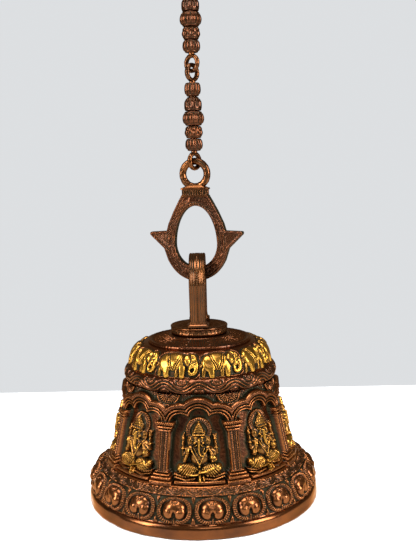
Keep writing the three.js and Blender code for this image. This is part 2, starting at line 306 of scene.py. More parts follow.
def turn_copy(obj, name, angle):
    """A copy of a piece, turned about the bell's axis in its own mesh."""
    copy = bpy.data.objects.new(name, obj.data.copy())
    copy.data.transform(Matrix.Rotation(angle, 4, "Z"))
    bpy.context.scene.collection.objects.link(copy)
    return copy


def swept(name, centres, across, out, section, height):
    """A solid with flat ends: a section carried along a path.

    centres, across and out are (n, 3): the path, and the section's own x and y directions along it.
    section is a closed counterclockwise outline [(x, y)]; height(step, x, y) is the relief on it in mm.
    """
    along = np.roll(section, -1, 0) - np.roll(section, 1, 0)
    along /= np.hypot(*along.T)[:, None]
    normal = np.stack([along[:, 1], -along[:, 0]], 1)
    step, column = np.meshgrid(np.arange(len(centres)), np.arange(len(section)), indexing="ij")
    x, y = section[column, 0], section[column, 1]
    raised = height(step, x, y)
    x = (x + normal[column, 0] * raised)[..., None]
    y = (y + normal[column, 1] * raised)[..., None]
    points = centres[:, None, :] + across[:, None, :] * x + out[:, None, :] * y
    index = np.arange(step.size).reshape(step.shape)
    faces = [quads(index, False, True), index[:1, ::-1], index[-1:]]
    cell = np.hypot(*(section[1] - section[0]))
    marks = {"wear": wear_of(raised, max(cell, 0.3))}
    return mesh_object(name, points.reshape(-1, 3), faces, [True, False, False], marks)


def ring_section(rx, ry, steps):
    turn = np.arange(steps) * TAU / steps
    return np.stack([rx * np.cos(turn), ry * np.sin(turn)], 1)


# ---------------------------------------------------------------- materials

METAL = 0.92
WARM_GLINT = (1.0, 0.6, 0.36)


def bronze(name, body, recess, edge, rough, coat=0.05, blotch=0.45, bump=0.07, gilded=False):
    """Patinated cast bronze: dark in the recesses, rubbed bright on the edges, gilt where it is marked."""
    material = bpy.data.materials.new(name)
    material.use_nodes = True
    tree = material.node_tree
    nodes, links = tree.nodes, tree.links
    shader = nodes["Principled BSDF"]

    def math_node(kind, a, b=None, c=None, clamp=False):
        node = nodes.new("ShaderNodeMath")
        node.operation = kind
        node.use_clamp = clamp
        for socket, value in zip(node.inputs, (a, b, c)):
            if value is None:
                continue
            if isinstance(value, (int, float)):
                socket.default_value = value
            else:
                links.new(value, socket)
        return node.outputs[0]

    def mix(factor, a, b):
        node = nodes.new("ShaderNodeMix")
        node.data_type = "RGBA"
        links.new(factor, node.inputs["Factor"])
        for socket, value in ((node.inputs[6], a), (node.inputs[7], b)):
            if isinstance(value, tuple):
                socket.default_value = (*value, 1)
            else:
                links.new(value, socket)
        return node.outputs[2]

    def noise(scale, detail=4.0, roughness=0.55):
        node = nodes.new("ShaderNodeTexNoise")
        node.inputs["Scale"].default_value = scale
        node.inputs["Detail"].default_value = detail
        node.inputs["Roughness"].default_value = roughness
        links.new(where, node.inputs["Vector"])
        return node.outputs["Fac"]

    def mark(key):
        node = nodes.new("ShaderNodeAttribute")
        node.attribute_name = key
        return node.outputs["Fac"]

    where = nodes.new("ShaderNodeTexCoord").outputs["Object"]
    fine, cloudy, tint = noise(1100.0), noise(150.0, 5.0), noise(38.0, 3.0)
    uneven = math_node("MULTIPLY_ADD", cloudy, blotch, -0.5 * blotch)
    level = math_node("ADD", mark("wear"), uneven)
    hollow = math_node("MULTIPLY_ADD", level, -2.1, -0.1, clamp=True)
    proud = math_node("MULTIPLY_ADD", level, 1.1, -0.34, clamp=True)
    dull = math_node("MULTIPLY_ADD", tint, 2.6, -0.8, clamp=True)
    colour = mix(dull, tuple(0.36 * v + 0.003 for v in body), body)
    colour = mix(proud, colour, edge)
    if gilded:
        leaf = math_node("MULTIPLY_ADD", level, 1.7, 0.42, clamp=True)
        colour = mix(math_node("MULTIPLY", mark("gilt"), leaf), colour, GOLD)
    colour = mix(hollow, colour, recess)
    links.new(colour, shader.inputs["Base Color"])
    rougher = math_node("MULTIPLY_ADD", hollow, 0.34, rough - 0.08)
    links.new(math_node("MULTIPLY_ADD", fine, 0.16, rougher), shader.inputs["Roughness"])
    links.new(math_node("MULTIPLY_ADD", hollow, -0.15 * METAL, METAL), shader.inputs["Metallic"])
    shader.inputs["Specular Tint"].default_value = (*WARM_GLINT, 1)
    shader.inputs["Coat Weight"].default_value = coat
    shader.inputs["Coat Roughness"].default_value = 0.16
    relief = nodes.new("ShaderNodeBump")
    relief.inputs["Strength"].default_value = bump
    relief.inputs["Distance"].default_value = 0.0006
    links.new(math_node("ADD", fine, cloudy), relief.inputs["Height"])
    links.new(relief.outputs["Normal"], shader.inputs["Normal"])
    return material


DARK_GREEN = (0.0065, 0.0080, 0.0033)
DARK_BROWN = (0.018, 0.012, 0.006)
RED_BROWN = (0.060, 0.0170, 0.0050)
COPPER = (0.165, 0.054, 0.0135)
BRIGHT_COPPER = (0.25, 0.09, 0.018)
GOLD = (0.30, 0.150, 0.019)
aged = bronze("aged_bronze", RED_BROWN, DARK_GREEN, COPPER, 0.26)
gilt_relief = bronze("gilt_relief", RED_BROWN, DARK_GREEN, COPPER, 0.27, gilded=True)
worn = bronze("worn_bronze", (0.085, 0.027, 0.006), DARK_GREEN, BRIGHT_COPPER, 0.24)
lip = bronze("lip_bronze", (0.105, 0.031, 0.007), DARK_BROWN, (0.24, 0.088, 0.021), 0.2,
             blotch=0.3, bump=0.04)
inside = bronze("inside_bronze", (0.10, 0.04, 0.018), DARK_GREEN, COPPER, 0.46, coat=0.0, bump=0.2)
clapper_metal = bronze("clapper_bronze", (0.14, 0.06, 0.022), (0.03, 0.02, 0.012), (0.34, 0.16, 0.055), 0.32,
                       bump=0.15)
iron = bronze("dark_iron", (0.04, 0.034, 0.03), (0.015, 0.013, 0.012), (0.14, 0.12, 0.10), 0.42, coat=0.0)


UPRIGHT = math.pi / 2


def put(obj, body, material, nodes, height=0.0, yaw=0.0, tilt=0.0):
    """Stands a piece at its height above the rim plane, turned about the vertical, and hands it to the frame.

    A tilt is about X and comes first: a quarter turn stands a flat ring up.
    """
    turn = Matrix.Rotation(yaw, 4, "Z") @ Matrix.Rotation(tilt, 4, "X")
    obj.data.transform(Matrix.Translation((0, 0, RIM_Z + height * MM)) @ turn)
    obj.data.materials.append(material)
    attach(obj, body)
    if nodes:
        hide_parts(*nodes)
    return obj


# ---------------------------------------------------------------- the bell's casting

LIP, INSIDE, WAIST = range(3)  # the casting's finishes, in the order of its material slots
EDGE_TOP = 1.5
LIP_TOP = 16
UNDER_CROWN = 100


def finish_casting(obj):
    """Gives each face of the casting its finish: inside where it looks inward or down, else lip or waist."""
    faces = obj.data.polygons
    middle = np.zeros(len(faces) * 3)
    faces.foreach_get("center", middle)
    normal = np.zeros(len(faces) * 3)
    faces.foreach_get("normal", normal)
    middle, normal = middle.reshape(-1, 3) / MM, normal.reshape(-1, 3)
    inward = (middle[:, :2] * normal[:, :2]).sum(1) < 0
    downward = (middle[:, 2] > UNDER_CROWN) & (normal[:, 2] < -0.1)
    finish = np.where(middle[:, 2] > LIP_TOP, WAIST, LIP)
    finish = np.where((inward | downward) & (middle[:, 2] > EDGE_TOP), INSIDE, finish)
    faces.foreach_set("material_index", finish.astype(np.int32))


def bell_casting():
    """The plain wall that the relief stands on: the polished lip, the inside and the crown."""
    outline = [
        # the lip
        (106.2, 0.5), (107, 0), (113.8, 0), (115.2, 1.2), (115.5, 3.5), (115.3, 5.2), (114.9, 5.7),
        (115.2, 6.3), (114.9, 9.6), (113.8, 12.4), (111.6, 13.9), (109.6, 15),
        # the outside, up to the crown
        (108.6, 20), (106.8, 25.5), (103.2, 30.8), (98, 35.3), (93.6, 38.6), (88, 42), (82, 48), (80, 58),
        (77.5, 70), (74.5, 85), (70.5, 104), (68, 116), (67.5, 124), (68.6, 131), (67.6, 137), (66.4, 142),
        (64.4, 147.4), (60.8, 152), (56, 155), (51, 156.3), (50, 156.8),
        # the hole for the stud, and the inside down to the lip
        (7.5, 156.8), (5.4, 156.3), (5.4, 148.5), (6.5, 148), (50, 148), (56, 146.4), (60.4, 142.6),
        (63.5, 136), (67, 122), (69.5, 104), (72.5, 86), (76, 70), (79.5, 54), (82, 46), (88, 39), (97, 31),
        (101, 25.5), (103.4, 20), (105.4, 10),
    ]
    outline = rounded(outline, closed=True, rounds=1)

    def marks(angle, along, radius, z):
        turning = 0.05 * np.sin(z * TAU / 1.3) * (radius > 104) * (z < 12)
        hand = 0.25 * grain(angle * 60, z * 0.6, 16, 5) * (radius > 104) * (z < 12)
        inner = 0.35 * grain(angle * 90, z, 13, 6) * (radius < 106) * (z < 150)
        return turning + hand + np.where(z < 12, 0, inner)

    obj = turned("bell_casting", outline, 300, 1.6, marks)
    finish_casting(obj)
    return obj


# ---------------------------------------------------------------- petals and vine above the lip

PETAL_RADIUS = 105.0
VINE_RADIUS = 100.0
VINE_WAVES = 34
VINE_MIDDLE = 28.4
VINE_RISE = 2.5


def petal(m):
    """One petal; returns the distance to the heart in it."""
    x, v = m.x, m.y

    # the frame: a broad band with a hatched face round each petal
    reach = (np.abs(x / 15.9) ** 2.4 + np.abs((v - 12.2) / 11.6) ** 2.4) ** (1 / 2.4)
    frame_d = (reach - 1) * 12.8
    around = np.arctan2(v - 12.2, x * 0.78)
    hatch = np.clip(0.5 + 0.9 * np.cos(around * 42), 0, 1)
    on_band = ramp(-0.2, 0.9, -frame_d) * ramp(3.3, 2.4, -frame_d)
    m.height = lump(np.maximum(frame_d, -frame_d - 3.6), 3.6, 1.8) - 1.4 * hatch * on_band

    # the heart inside it: round above, two lobes below
    heart = oval(x, v, 0, 14.6, 10.4, 7.4)
    for side in (-1, 1):
        heart = np.minimum(heart, oval(x, v, side * 4.9, 10.6, 5.6, 6.4, side * -0.2))
    m.emboss(-0.9 * ramp(-3.4, -4.0, frame_d))
    m.height = np.maximum(m.height, lump(heart, 6.0, 6.5) - 0.9)
    cleft = np.hypot(x, np.maximum(0, v - 8.4) / 2.0)
    m.emboss(-5.0 * np.exp(-cleft ** 2), (heart < 0.5) & (v < 13.5))
    for cx, cv in ((-2.4, 18.2), (-0.8, 17.2), (0.9, 17.2), (2.5, 18.2)):
        m.emboss(-1.4 * line(np.hypot(x - cx, (v - cv) / 1.9), 0.5), heart < 0)

    # the gap and small leaf between the frame's two feet
    m.emboss(-m.height * line(x, 2.0) * ramp(6.4, 5.2, v))
    m.stroke([(0, 1.2, 1.3), (0, 5.4, 0.6)], 2.2)
    return heart


def wedge_leaves(m):
    """A leaf between neighbouring petals, above and below."""
    v = m.y
    side = TAU / PETALS * PETAL_RADIUS / 2 - np.abs(m.x)
    leaf_top = stroke(side, v, [(0, 22.6, 2.0), (0, 18.6, 0.5)])
    leaf_low = stroke(side, v, [(0, 2.0, 2.2), (0, 6.4, 0.5)])
    m.add(leaf_top, 2.6, 1.6)
    m.add(leaf_low, 2.6, 1.8)
    m.emboss(-0.7 * line(side, 0.45), np.minimum(leaf_top, leaf_low) < 0)


def vine(m, angle):
    """The band of scrolls above the petals."""
    v = m.y
    band = lump(np.maximum(24.3 - v, v - 32.6), 2.2, 0.9)
    m.height = np.maximum(m.height, band)
    arc = angle * VINE_RADIUS
    period = TAU * VINE_RADIUS / VINE_WAVES
    swing = TAU * arc / period
    slope = VINE_RISE * TAU / period * np.cos(swing)
    stem = np.abs(v - VINE_MIDDLE - VINE_RISE * np.sin(swing)) / np.hypot(1, slope)
    on_vine = (v > 24.6) & (v < 32.3)
    m.emboss(-1.5 * line(stem - 0.9, 0.62), on_vine)
    across = swing / TAU - np.floor(swing / TAU)
    for centre, low in ((0.25, 26.0), (0.75, 30.8)):
        spiral = np.hypot((across - centre) * period, v - low)
        m.emboss(-1.2 * (line(spiral - 2.5, 0.5) + line(spiral, 0.6)), on_vine & (stem > 1.7))
    m.emboss(0.5 * line(v - 24.9, 0.5) + 0.5 * line(v - 32.2, 0.5))


def petal_relief(angle, along, radius, z):
    v = along
    x = off_whole((angle - PETAL_PHASE) / (TAU / PETALS)) * (TAU / PETALS) * PETAL_RADIUS
    m = Relief(x, v)
    heart = petal(m)
    wedge_leaves(m)
    m.add(np.abs(v - 0.6) - 0.9, 1.6, 0.9)
    vine(m, angle)

    # the rubbed ledge under the arcade
    m.add(np.maximum(34.2 - v, v - 37.6), 1.5, 1.2)
    m.emboss(0.10 * grain(angle * VINE_RADIUS, v, 5.0, 11))
    rubbed = 0.5 * ramp(0, -2.5, heart) + 0.45 * ramp(33.4, 34.2, v) * ramp(38.6, 37.8, v)
    return m.height, m.gilt, rubbed


PETAL_BASE = [
    (110.6, 13.4), (111.2, 16.6), (111.0, 20.5), (109.0, 26), (105.4, 31.3), (100.4, 35.8), (97.0, 38.5),
    (95.8, 40.1), (94.0, 41.1), (90.0, 41.3),
]


def petal_panels():
    quarter = TAU / 4
    start = PETAL_PHASE + TAU / PETALS / 2 - TAU / PETALS * 3
    angles = start + np.linspace(0, quarter, 330)
    first = panel("petal_band_1", angles, rounded(PETAL_BASE), 0.46, petal_relief, 4.5)
    return [first] + [turn_copy(first, f"petal_band_{i + 1}", i * quarter) for i in range(1, 4)]


# ---------------------------------------------------------------- the arcade of seated figures

NICHE_FOOT = 41.2
NICHE_HEAD = 121.2
ROSETTE = 122.0
HALO = 89.5


def niche_back(z):
    """Radius of the back wall of a niche."""
    return 85.0 - (z - 50.0) * 0.2273


def arch_relief(m, p):
    """The pillars, the moulded arch and the half rosettes; p is the distance in from the pillar's middle."""
    x, z = m.x, m.y
    m.add(z - 43.2, 9.4, 1.8)

    for low, high, half, height in (
        (41.0, 46.2, 10.6, 10.6), (46.2, 49.6, 9.4, 9.9), (49.6, 52.2, 8.0, 9.2), (52.2, 54.2, 6.4, 8.5),
        (88.0, 91.0, 6.2, 8.2), (91.0, 94.0, 7.4, 8.8), (94.0, 97.4, 8.6, 9.6),
    ):
        m.add(slab(p, z, 0, (low + high) / 2, half, (high - low) / 2), height, 1.0)
    m.emboss(-0.7 * line((z - 42.9 + 50) % 1.15 - 0.6, 0.3), (p < 10) & (z < 45.6) & (z > 41.5))
    m.emboss(-0.6 * line(repeated(p, 1.8), 0.35), (p < 8.4) & (z > 94.4) & (z < 97))

    # the shaft is a half-round with five ribs, two of them beaded
    shaft = slab(p, z, 0, 71, 4.9, 18)
    body = 7.9 * np.sqrt(np.clip(1 - (p / 7.4) ** 2, 0, 1))
    m.height = np.where(shaft < 0, np.maximum(m.height, body), m.height)
    rib = np.cos(p * TAU / 1.95)
    bead = np.cos(z * TAU / 1.7)
    beaded = line(p - 1.95, 0.7)
    m.emboss((0.6 * rib - 0.3 + 0.4 * bead * beaded) * ramp(0, -0.6, shaft))

    # the opening has three round tops; the mouldings follow its edge outwards
    opening = oval(x, z, 0, 101.2, 8.4, 8.6)
    for side in (-1, 1):
        opening = np.minimum(opening, oval(x, z, side * 15.3, 94.8, 9.8, 9.9))
    opening = np.minimum(opening, slab(x, z, 0, 70, 25.2, 25))
    profile = (
        (-0.6, 0), (0.2, 6.0), (0.9, 6.9), (1.6, 6.3), (2.2, 4.6), (2.8, 6.6), (3.4, 7.4), (4.1, 7.0),
        (4.8, 5.2), (5.4, 7.6), (6.4, 8.6), (8.2, 8.9), (9.4, 7.4), (10.3, 3.0),
    )
    mould = np.interp(opening, *zip(*profile), left=0, right=0)
    above = ramp(86.5, 88.5, z) * (opening < 10.3)
    m.height = np.maximum(m.height, mould * above)
    along_edge = np.arctan2(z - 84, x) * 30
    hatch = line(repeated(along_edge - 0.575, 1.15), 0.3)
    m.emboss(-0.75 * hatch * line(opening - 7.3, 0.75) * above)

    # the spandrel behind, stippled, and the fringed roundel over the pillar
    wall = (z > 96) & (opening > 9.8)
    m.height = np.where(wall, np.maximum(m.height, 2.6 + 0.35 * grain(x, z, 2.2, 3)), m.height)
    far = np.hypot(p, z - ROSETTE)
    fringe = np.clip(0.5 + 0.8 * np.cos(np.arctan2(p, ROSETTE - z) * 26), 0, 1)
    rise = (
        (0, 6.2), (2.6, 6.0), (3.2, 3.8), (4.2, 5.2), (8.8, 5.4), (9.3, 3.6), (9.9, 5.8), (11.0, 5.6),
        (11.7, 2.6),
    )
    disc = np.interp(far, *zip(*rise))
    disc = disc - 1.2 * (1 - fringe) * ramp(3.8, 4.8, far) * ramp(9.3, 8.7, far)
    m.height = np.where((far < 11.7) & (z > 98), np.maximum(m.height, disc), m.height)


def halo(m):
    x, z = m.x, m.y
    far = np.hypot(x, z - HALO)
    around = np.arctan2(z - HALO, x)
    m.add(far - 11.8, 2.2, 0.8, 0.05)
    m.emboss(0.8 * ripple(around * 32) * ramp(8.4, 9.0, far) * ramp(11.6, 11.0, far), z > 78)
    m.emboss(0.8 * line(far - 7.9, 0.5), z > 78)


def stand(m):
    """The low stand with the folds that lie on it."""
    x, z = m.x, m.y
    m.add(slab(x, z, 0, 45.0, 22, 1.7), 8.8, 1.0)
    for side in (-1, 1):
        rail = [(side * 21.5, 49.4, 0.8), (side * 12, 47.0, 1.0), (side * 4, 48.4, 0.9)]
        m.stroke(rail, 7.4, 0.12)
        rail = [(side * 22, 51.8, 0.8), (side * 14, 49.6, 0.9), (side * 6, 50.6, 0.8)]
        m.stroke(rail, 6.6, 0.08)


def rear_arms(m):
    """The rear arms with what they hold up."""
    m.stroke([(-7.4, 75.4, 2.5), (-14.0, 68.2, 2.1), (-14.4, 76.5, 1.6), (-14.0, 80.0, 1.3)], 4.8, 0.3)
    m.stroke([(7.4, 75.4, 2.5), (15.6, 69.6, 2.1), (14.8, 77.5, 1.6), (14.2, 80.5, 1.3)], 4.8, 0.3)
    m.oval(-14.0, 82.8, 2.0, 2.5, 5.0, 0.35)
    m.stroke([(-14.0, 84.4, 0.8), (-13.2, 87.2, 0.5)], 3.6, 0.3)
    for dx in (-1.5, 0, 1.5):
        m.stroke([(14.2, 81.5, 1.1), (14.2 + dx, 86.0, 0.4)], 4.8, 0.35)
    m.oval(14.2, 82.2, 2.1, 1.7, 5.0, 0.35)


def legs(m):
    """Two broad folds of pleated cloth, and the foot across the front."""
    x, z = m.x, m.y
    for side in (-1, 1):
        leg = oval(x, z, side * 10.6, 55.0, 10.0, 6.1, side * -0.10)
        m.add(leg, 7.4, 5.0, 0.8)
        fan = np.arctan2(x + side * 9.0, 84.0 - z) / math.radians(2.9)
        m.emboss(np.cos(fan * TAU) - 0.45, leg < -0.4)
        m.oval(side * 16.8, 56.4, 3.9, 3.8, 7.0, 0.7)
    m.stroke([(12.0, 57.0, 2.2), (6.0, 54.6, 2.0), (0.6, 53.6, 1.9)], 8.4, 1.0)
    m.stroke([(-11.0, 52.2, 1.9), (-5.6, 51.2, 1.7), (-2.0, 51.6, 1.5)], 7.8, 0.9)
    for step in range(4):
        m.oval(0.3 - 0.5 * step, 55.2 - step * 1.1, 0.9, 0.6, 8.5, 1.0)


def torso(m):
    """The belly and chest."""
    x, z = m.x, m.y
    m.oval(0.3, 66.2, 8.9, 8.6, 6.4, 0.4)
    m.oval(0, 73.6, 8.0, 4.9, 5.6, 0.35)
    m.emboss(-1.2 * line(np.hypot(x - 0.2, z - 63.6), 0.9))
    for side in (-1, 1):
        m.oval(side * 7.5, 75.0, 2.9, 2.7, 6.0, 0.35)


def front_arms(m):
    """A raised palm on one side, a bowl on the other, and bangles."""
    x, z = m.x, m.y
    m.stroke([(-8.8, 73.0, 2.2), (-12.8, 63.4, 2.2), (-11.0, 68.4, 1.6)], 6.6, 0.4)
    m.oval(-10.0, 71.2, 2.6, 3.9, 7.4, 0.6)
    for dx in (-1.2, -0.1, 1.0):
        m.stroke([(-10.0 + dx, 72.0, 0.62), (-10.0 + dx * 1.1, 75.0, 0.5)], 7.8, 0.7)
    m.stroke([(9.0, 73.2, 2.2), (14.2, 64.2, 2.2), (11.2, 62.8, 1.7)], 6.6, 0.4)
    m.oval(11.8, 66.4, 3.7, 3.9, 7.6, 0.75)
    for dx in (-1.6, 0, 1.6):
        m.oval(11.8 + dx, 69.6, 1.2, 1.1, 7.7, 0.7)
    for ax, az, turn in ((-12.0, 65.6, 0.5), (13.4, 66.6, -0.5), (-14.2, 74.2, 0.0), (15.0, 74.4, 0.0)):
        bangle = oval(x, z, ax, az, 2.9, 0.9, turn)
        m.add(bangle, 7.0 if abs(ax) < 14 else 5.4, 0.7, 0.6)


def necklaces(m):
    """The necklaces and the hanging sash."""
    x, z = m.x, m.y
    chains = (
        ([(-6.6, 73.6), (-3.6, 67.2), (0.2, 60.2), (3.8, 67.2), (6.9, 73.6)], 0.75, 7.5),
        ([(-4.4, 74.6), (-2.4, 70.6), (0.1, 66.6), (2.6, 70.6), (4.8, 74.6)], 0.55, 7.1),
    )
    for path, half, height in chains:
        chain = stroke(x, z, [(px, pz, half) for px, pz in path])
        m.add(chain, height, 0.7, 0.85)
        m.emboss(0.25 * np.cos(z * TAU / 1.25), chain < 0)
    m.oval(0.2, 58.9, 1.5, 1.7, 7.8, 0.9)
    m.stroke([(0.3, 51.0, 1.3), (0.5, 46.4, 2.1)], 9.4, 0.95)
    m.stroke([(3.4, 51.0, 0.8), (3.8, 47.2, 1.4)], 8.9, 0.7)
    m.emboss(-0.5 * line(repeated(x, 0.9), 0.2), (z < 50) & (z > 45) & (abs(x - 0.4) < 2.2))


def head(m):
    """The ears, brow, trunk, tusks and eyes."""
    x, z = m.x, m.y
    for side in (-1, 1):
        ear = oval(x, z, side * 6.9, 80.4, 3.7, 5.2, side * 0.1)
        m.add(ear, 5.0, 2.2, 0.4)
        m.emboss(-0.9 * line(oval(x, z, side * 7.3, 80.5, 1.9, 3.2), 0.55), ear < -0.3)
        m.oval(side * 8.4, 75.8, 1.0, 1.2, 6.0, 1.0)
    m.oval(0, 81.8, 5.9, 5.3, 7.2, 0.8)
    for side in (-1, 1):
        m.oval(side * 2.9, 84.4, 2.5, 2.0, 7.7, 0.85)
        m.oval(side * 3.6, 79.6, 2.0, 2.1, 7.3, 0.85)
        m.stroke([(side * 2.0, 77.8, 0.8), (side * 4.0, 75.9, 0.5)], 7.8, 0.9)
        eye = np.hypot((x - side * 3.0) / 1.35, (z - 82.0) / 0.7)
        m.emboss(-0.75 * line(eye - 1, 0.35))
    trunk = [
        (0, 82.6, 2.1), (0.1, 78.4, 2.0), (0, 74.6, 1.75), (0.2, 71.2, 1.55), (1.4, 68.8, 1.4),
        (3.2, 68.0, 1.25), (4.6, 69.2, 1.1), (4.2, 70.8, 0.9),
    ]
    m.stroke(trunk, 9.0, 1.0)
    m.emboss(-0.35 * line(repeated(z, 1.2), 0.26), (abs(x) < 2.2) & (z < 79.5) & (z > 70))
    m.add(slab(x, z, 0, 86.7, 5.4, 0.8), 7.9, 0.7, 0.7)
    m.emboss(0.35 * np.cos(x * TAU / 1.6), (abs(z - 86.7) < 0.8) & (abs(x) < 5.2))


def tiered_crown(m):
    """The tiered crown."""
    x, z = m.x, m.y
    cone = np.abs(x) - 5.7 * (1 - np.clip((z - 86.6) / 12.8, 0, 1) ** 1.6)
    cone = np.maximum(cone * 0.9, z - 99.2)
    m.add(np.maximum(cone, 87.2 - z), 7.2, 1.8, 0.6)
    tier = repeated(z + np.abs(x) * 0.35 - 1.05, 2.1)
    m.emboss(-0.7 * line(tier, 0.36), (cone < -0.3) & (z > 88))
    for side in (-1, 1):
        m.stroke([(side * 5.0, 87.6, 1.0), (side * 4.9, 90.4, 0.5)], 6.0, 0.6)


def figure_relief(m):
    """An elephant-headed figure seated cross-legged on a low stand, facing out, four-armed."""
    halo(m)
    stand(m)
    rear_arms(m)
    legs(m)
    torso(m)
    front_arms(m)
    necklaces(m)
    head(m)
    tiered_crown(m)


def niche_relief(angle, along, radius, z):
    x = angle * radius
    p = (math.pi / NICHES - np.abs(angle)) * radius
    m = Relief(x, z)
    figure_relief(m)
    m.height = m.height * ramp(0.0, 3.0, p - 6.0)
    arch_relief(m, p)
    m.emboss(0.05 * grain(x, z, 3.0, 21))
    m.gilt = 0.62 * blur(m.gilt, 1.0, False)
    return np.maximum(niche_back(z) + m.height - radius, 0.0), m.gilt


def niche_panels():
    half = math.pi / NICHES
    angles = np.linspace(-half, half, 154)
    wall = [(niche_back(z) - 0.5, z) for z in (NICHE_FOOT, NICHE_HEAD)]
    first = panel("niche_1", angles, wall, 0.42, niche_relief, 3.0, radial=True)
    return [first] + [turn_copy(first, f"niche_{i + 1}", i * TAU / NICHES) for i in range(1, NICHES)]


# ---------------------------------------------------------------- the ribbon roll and the elephants

ROLL_MIDDLE = np.array([68.3, 128.6])
ROLL_TUBE = 7.9
ROLL_RADIUS = 74.0
WAVE_RISE = 4.3


def roll_relief(angle, along, radius, z):
    arc = along - along.max() / 2
    turn = (angle - WAVE_PHASE) * WAVES
    slope = WAVE_RISE * WAVES / ROLL_RADIUS * np.sin(turn)
    d = (arc - WAVE_RISE * np.cos(turn)) / np.hypot(1, slope)
    height = -1.7 * line(np.abs(d) - 1.5, 0.72)
    # nested curves in every bay: above the troughs of the ribbon and below its crests
    for side in (-1, 1):
        shift = 0.5 if side > 0 else 0.0
        u = off_whole(turn / TAU + shift) * TAU / WAVES * ROLL_RADIUS
        v = (arc - side * 5.4) * side
        far = np.hypot(u / 1.3, v)
        inside = d * side > 2.6
        height = height - 1.4 * line(far - 4.1, 0.62) * inside * (v < 2.5)
        ticks = ramp(0.1, 0.8, np.cos((u + 0.4 * v) * TAU / 1.7))
        height = height - 0.9 * ticks * (far < 2.4) * inside * (np.abs(v + 0.6) < 1.5)
    height = height + 0.10 * grain(angle * 72, arc, 4.0, 31)
    return height, np.zeros_like(height)


def ribbon_roll():
    turn = np.radians(np.linspace(-112, 112, 33))
    outline = ROLL_MIDDLE + ROLL_TUBE * np.stack([np.cos(turn), np.sin(turn)], 1)
    return panel("ribbon_roll", ALL_ROUND, outline, 0.46, roll_relief, 3.0, belt=True)


DOME_BASE = [
    (69.0, 136.0), (68.6, 140), (67.2, 145.6), (64.2, 151), (59.4, 154.6), (54.0, 156.2), (49.5, 156.6),
]


FRIEZE_RADIUS = 68.0
TRUNK = [
    (17.0, 13.8, 2.8), (18.4, 10.6, 2.4), (18.5, 7.6, 2.2), (17.6, 4.8, 2.0), (16.0, 3.2, 1.8),
    (14.0, 2.8, 1.6),
]
TRUNK_END = [(14.0, 2.8, 1.6), (12.4, 3.5, 1.5), (11.8, 5.2, 1.3), (12.3, 7.0, 1.1)]


def elephant_relief(angle, along, radius, z):
    turn = (angle - ELEPHANT_PHASE) / (TAU / ELEPHANTS) - 0.5
    u = off_whole(turn) * (TAU / ELEPHANTS) * FRIEZE_RADIUS
    v = (along - 0.6) / 1.13
    m = Relief(u, v)
    body = np.minimum(oval(u, v, -3.4, 13.2, 14.6, 8.0), oval(u, v, -11.6, 11.6, 7.6, 8.0))
    shapes = (
        (stroke(u, v, [(-15.4, 9.0, 2.6), (-17.4, 5.6, 2.1), (-17.8, 1.4, 1.8)]), 1.9, 1.6, 0.5),
        (stroke(u, v, [(0.6, 8.0, 2.2), (-0.4, 1.4, 1.9)]), 1.9, 1.6, 0.5),
        (body, 3.2, 3.6, 0.95),
        (stroke(u, v, [(-11.0, 9.0, 4.0), (-10.2, 1.2, 2.8)]), 3.1, 2.0, 1.0),
        (stroke(u, v, [(5.2, 9.4, 3.6), (5.0, 1.2, 2.6)]), 3.1, 2.0, 1.0),
        (oval(u, v, 13.2, 13.8, 6.6, 7.0), 3.4, 3.0, 1.0),
        (stroke(u, v, TRUNK), 3.2, 1.7, 1.0),
        (stroke(u, v, TRUNK_END), 3.0, 1.2, 1.0),
    )
    for shape, height, shoulder, leaf in shapes:
        m.add(shape, height, shoulder, leaf)
    outside = np.minimum.reduce([shape for shape, _, _, _ in shapes])
    ear = oval(u, v, 9.4, 14.0, 3.8, 5.4, 0.15)
    m.emboss(-1.3 * line(ear, 0.6), v > 7)
    m.add(ear + 0.7, 4.0, 1.6, 0.8)
    m.emboss(-0.9 * line(np.hypot((u - 15.4) / 1.3, v - 15.2) - 0.8, 0.35))
    m.emboss(-0.8 * line(v - 11.2 - 0.3 * (u - 15), 0.4), (u > 14) & (u < 18.6))
    m.stroke([(15.0, 9.6, 0.9), (16.6, 7.4, 0.5)], 3.9, 1.0)
    m.stroke([(-18.6, 14.0, 0.7), (-19.8, 8.6, 0.8)], 1.7, 0.5)
    # the girth straps are two double lines from the back that meet under the belly
    strap = (np.abs(u + 3.6) - 0.50 * (v - 3.6)) / 1.12
    on_body = (body < -0.4) & (v > 4.6) & (ear > 0.5)
    m.emboss(-1.5 * (line(strap - 0.9, 0.45) + line(strap + 0.9, 0.45)), on_body)
    for foot in (-9.9, 5.2):
        for dx in (-1.3, 0, 1.3):
            m.emboss(-0.5 * line(np.hypot(u - foot - dx, (v - 0.9) / 1.2), 0.35))
    # a cut round each animal, hollow between its legs, and a smooth band over them all
    between_legs = (np.abs(u) < 17.5) & (v < 9.0)
    m.add(np.where(between_legs, 9.0, 1.5 - outside), 1.6, 0.7)
    m.add(np.abs(v + 0.4) - 0.7, 1.5, 0.7)
    m.add(np.maximum(21.4 - v, v - 30.0), 1.0, 1.4)
    fade = 1 - 0.6 * ramp(14.0, 20.0, v + 1.5 * grain(u, v, 9.0, 42))
    fade = fade * (1 - 0.25 * ramp(0.2, 0.9, grain(angle * FRIEZE_RADIUS, v, 7.0, 43)))
    m.gilt = blur(m.gilt * fade, 1.0, False)
    return m.height, m.gilt


def elephant_frieze():
    return panel("elephant_frieze", ALL_ROUND, rounded(DOME_BASE), 0.42, elephant_relief, 4.0, belt=True)


casting = bell_casting()
put(casting, "bell", lip, ["bell_shell"])
for material in (inside, aged):
    casting.data.materials.append(material)
for piece in petal_panels() + [ribbon_roll()]:
    put(piece, "bell", aged, ["bell_shell"])
for piece in niche_panels() + [elephant_frieze()]:
    put(piece, "bell", gilt_relief, ["bell_shell"])


# ---------------------------------------------------------------- the crown

